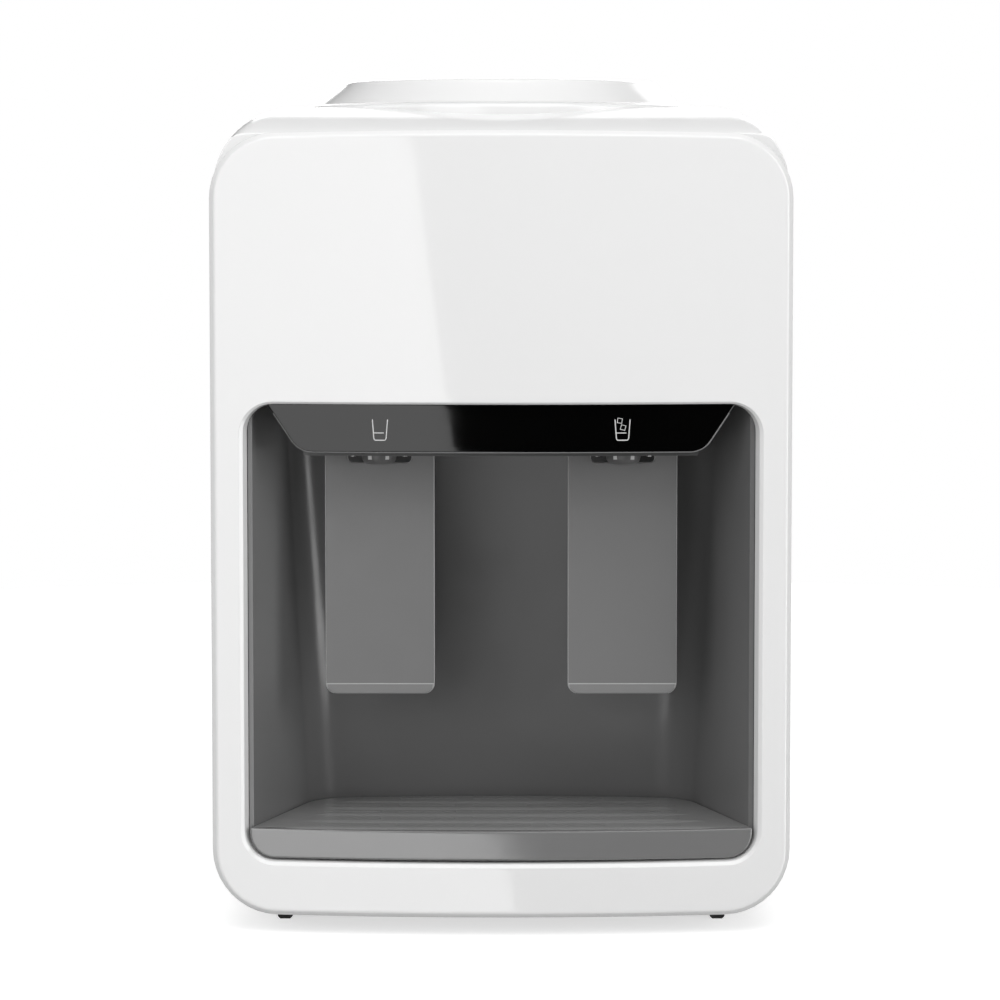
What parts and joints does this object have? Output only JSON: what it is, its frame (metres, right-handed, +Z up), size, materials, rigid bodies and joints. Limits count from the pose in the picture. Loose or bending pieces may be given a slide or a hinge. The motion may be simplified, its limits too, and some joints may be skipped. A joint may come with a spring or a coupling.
{
  "type": "countertop water dispenser",
  "caption": "Countertop dispenser for an inverted water bottle, with push-paddle taps over a recessed bay, a pull-out drip tray, a lift-out bottle funnel and a thermoelectric cooler.",
  "frame": {"origin": "centre of the footprint of the overall box, on the surface the feet stand on", "axes": "+Z up; -Y out of the front; +X to the right of someone facing the front"},
  "size_m": [0.29, 0.31, 0.429],
  "materials": {
    "white_gloss": "glossy moulded ABS",
    "white_satin": "glossy moulded ABS, slightly softer than the front",
    "back_grey": "fine textured moulding",
    "liner_grey": "dark grey, semi-gloss",
    "black_gloss": "piano black",
    "black_matte": "matte",
    "paddle_grey": "satin",
    "nozzle_grey": "satin",
    "tray_grey": "gloss",
    "grille_grey": "satin",
    "rubber_dark": "matte",
    "silicone": "soft satin",
    "funnel_white": "food-grade, semi-gloss",
    "probe_blue": "semi-gloss",
    "reservoir_white": "food-grade, satin",
    "tap_white": "satin",
    "hose_clear": "milky silicone",
    "stainless": "polished wire",
    "tank_steel": "brushed",
    "screw_steel": "zinc plated",
    "galvanised": "galvanised sheet",
    "foam_white": "expanded bead foam",
    "aluminium_block": "machined",
    "aluminium_fins": "extruded",
    "ceramic_white": "matte",
    "board_green": "solder mask",
    "copper_coil": "taped winding and core",
    "capacitor_blue": "sleeved can",
    "terminal_green": "moulded",
    "wire_red": "sleeved wire",
    "rocker_red": "translucent red"
  },
  "bodies": {
    "cabinet": {"front_panel": "white_gloss", "body_shell": "white_satin", "base_tub": "white_satin", "back_cover": "back_grey", "feet": "rubber_dark", "bottle_collar": "white_satin", "reservoir": "reservoir_white", "reservoir_shelf": "galvanised", "cavity_liner": "liner_grey", "header_frame": "black_matte", "header_strip": "black_gloss", "paddle_axle_left": "stainless", "paddle_axle_right": "stainless", "tap_body_left": "tap_white", "tap_body_right": "tap_white", "nozzle_left": "nozzle_grey", "nozzle_right": "nozzle_grey", "plunger_spring_left": "stainless", "plunger_spring_right": "stainless", "feed_hose_left": "hose_clear", "feed_hose_right": "hose_clear", "tank_inlet_pipe": "reservoir_white", "cold_tank": "tank_steel", "tank_lid": "reservoir_white", "foam_front": "foam_white", "foam_rear": "foam_white", "cold_block": "aluminium_block", "peltier_module": "ceramic_white", "heat_sink": "aluminium_fins", "sink_bolts": "screw_steel", "fan_frame": "black_matte", "fan_screws": "screw_steel", "temperature_sensor": "black_matte", "power_board": "board_green", "transformer": "copper_coil", "capacitors": "capacitor_blue", "terminal_block": "terminal_green", "wiring": "wire_red", "switch_body": "black_matte", "cord_gland": "black_matte", "drain_pipe": "hose_clear", "drain_spigot": "reservoir_white", "back_screws": "screw_steel", "base_screws": "screw_steel", "header_screws": "screw_steel"},
    "paddle_left": {"paddle_left": "paddle_grey"},
    "paddle_right": {"paddle_right": "paddle_grey"},
    "plunger_left": {"plunger_left": "tap_white", "valve_seal_left": "silicone"},
    "plunger_right": {"plunger_right": "tap_white", "valve_seal_right": "silicone"},
    "tray": {"drip_tray": "tray_grey"},
    "grille": {"drip_grille": "grille_grey"},
    "funnel": {"bottle_funnel": "funnel_white", "bottle_probe": "probe_blue", "funnel_seal": "silicone"},
    "fan": {"fan_rotor": "black_matte"},
    "rocker": {"switch_rocker": "rocker_red"},
    "plug": {"drain_plug": "rubber_dark"}
  },
  "joints": [
    {"name": "paddle_left_push", "type": "hinge", "parent": "cabinet", "child": "paddle_left", "pos_m": [-0.0614, -0.111, 0.248], "axis": [1, 0, 0], "range_deg": [0, 8], "stiffness_Nm_per_rad": 1.2, "springref_deg": -3.44},
    {"name": "plunger_left_slide", "type": "slide", "parent": "cabinet", "child": "plunger_left", "axis": [0, 0, -1], "range_m": [0, 0.0026], "deforming": ["plunger_spring_left"]},
    {"name": "paddle_right_push", "type": "hinge", "parent": "cabinet", "child": "paddle_right", "pos_m": [0.0614, -0.111, 0.248], "axis": [1, 0, 0], "range_deg": [0, 8], "stiffness_Nm_per_rad": 1.2, "springref_deg": -3.44},
    {"name": "plunger_right_slide", "type": "slide", "parent": "cabinet", "child": "plunger_right", "axis": [0, 0, -1], "range_m": [0, 0.0026], "deforming": ["plunger_spring_right"]},
    {"name": "tray_slide", "type": "slide", "parent": "cabinet", "child": "tray", "axis": [0, -1, 0], "range_m": [0, 0.11]},
    {"name": "grille_lift", "type": "slide", "parent": "tray", "child": "grille", "axis": [0, 0, 1], "range_m": [0, 0.03]},
    {"name": "funnel_lift", "type": "slide", "parent": "cabinet", "child": "funnel", "axis": [0, 0, 1], "range_m": [0, 0.12]},
    {"name": "fan_spin", "type": "hinge", "parent": "cabinet", "child": "fan", "pos_m": [0, 0.126, 0.19], "axis": [0, 1, 0], "continuous": true},
    {"name": "rocker_tip", "type": "hinge", "parent": "cabinet", "child": "rocker", "pos_m": [-0.095, 0.144, 0.0625], "axis": [-1, 0, 0], "range_deg": [0, 11]},
    {"name": "plug_pull", "type": "slide", "parent": "cabinet", "child": "plug", "axis": [0, 1, 0], "range_m": [0, 0.03]}
  ],
  "couplings": [
    {"joint": "plunger_left_slide", "follows": "paddle_left_push", "m_per_rad": 0.0186},
    {"joint": "plunger_right_slide", "follows": "paddle_right_push", "m_per_rad": 0.0186}
  ]
}
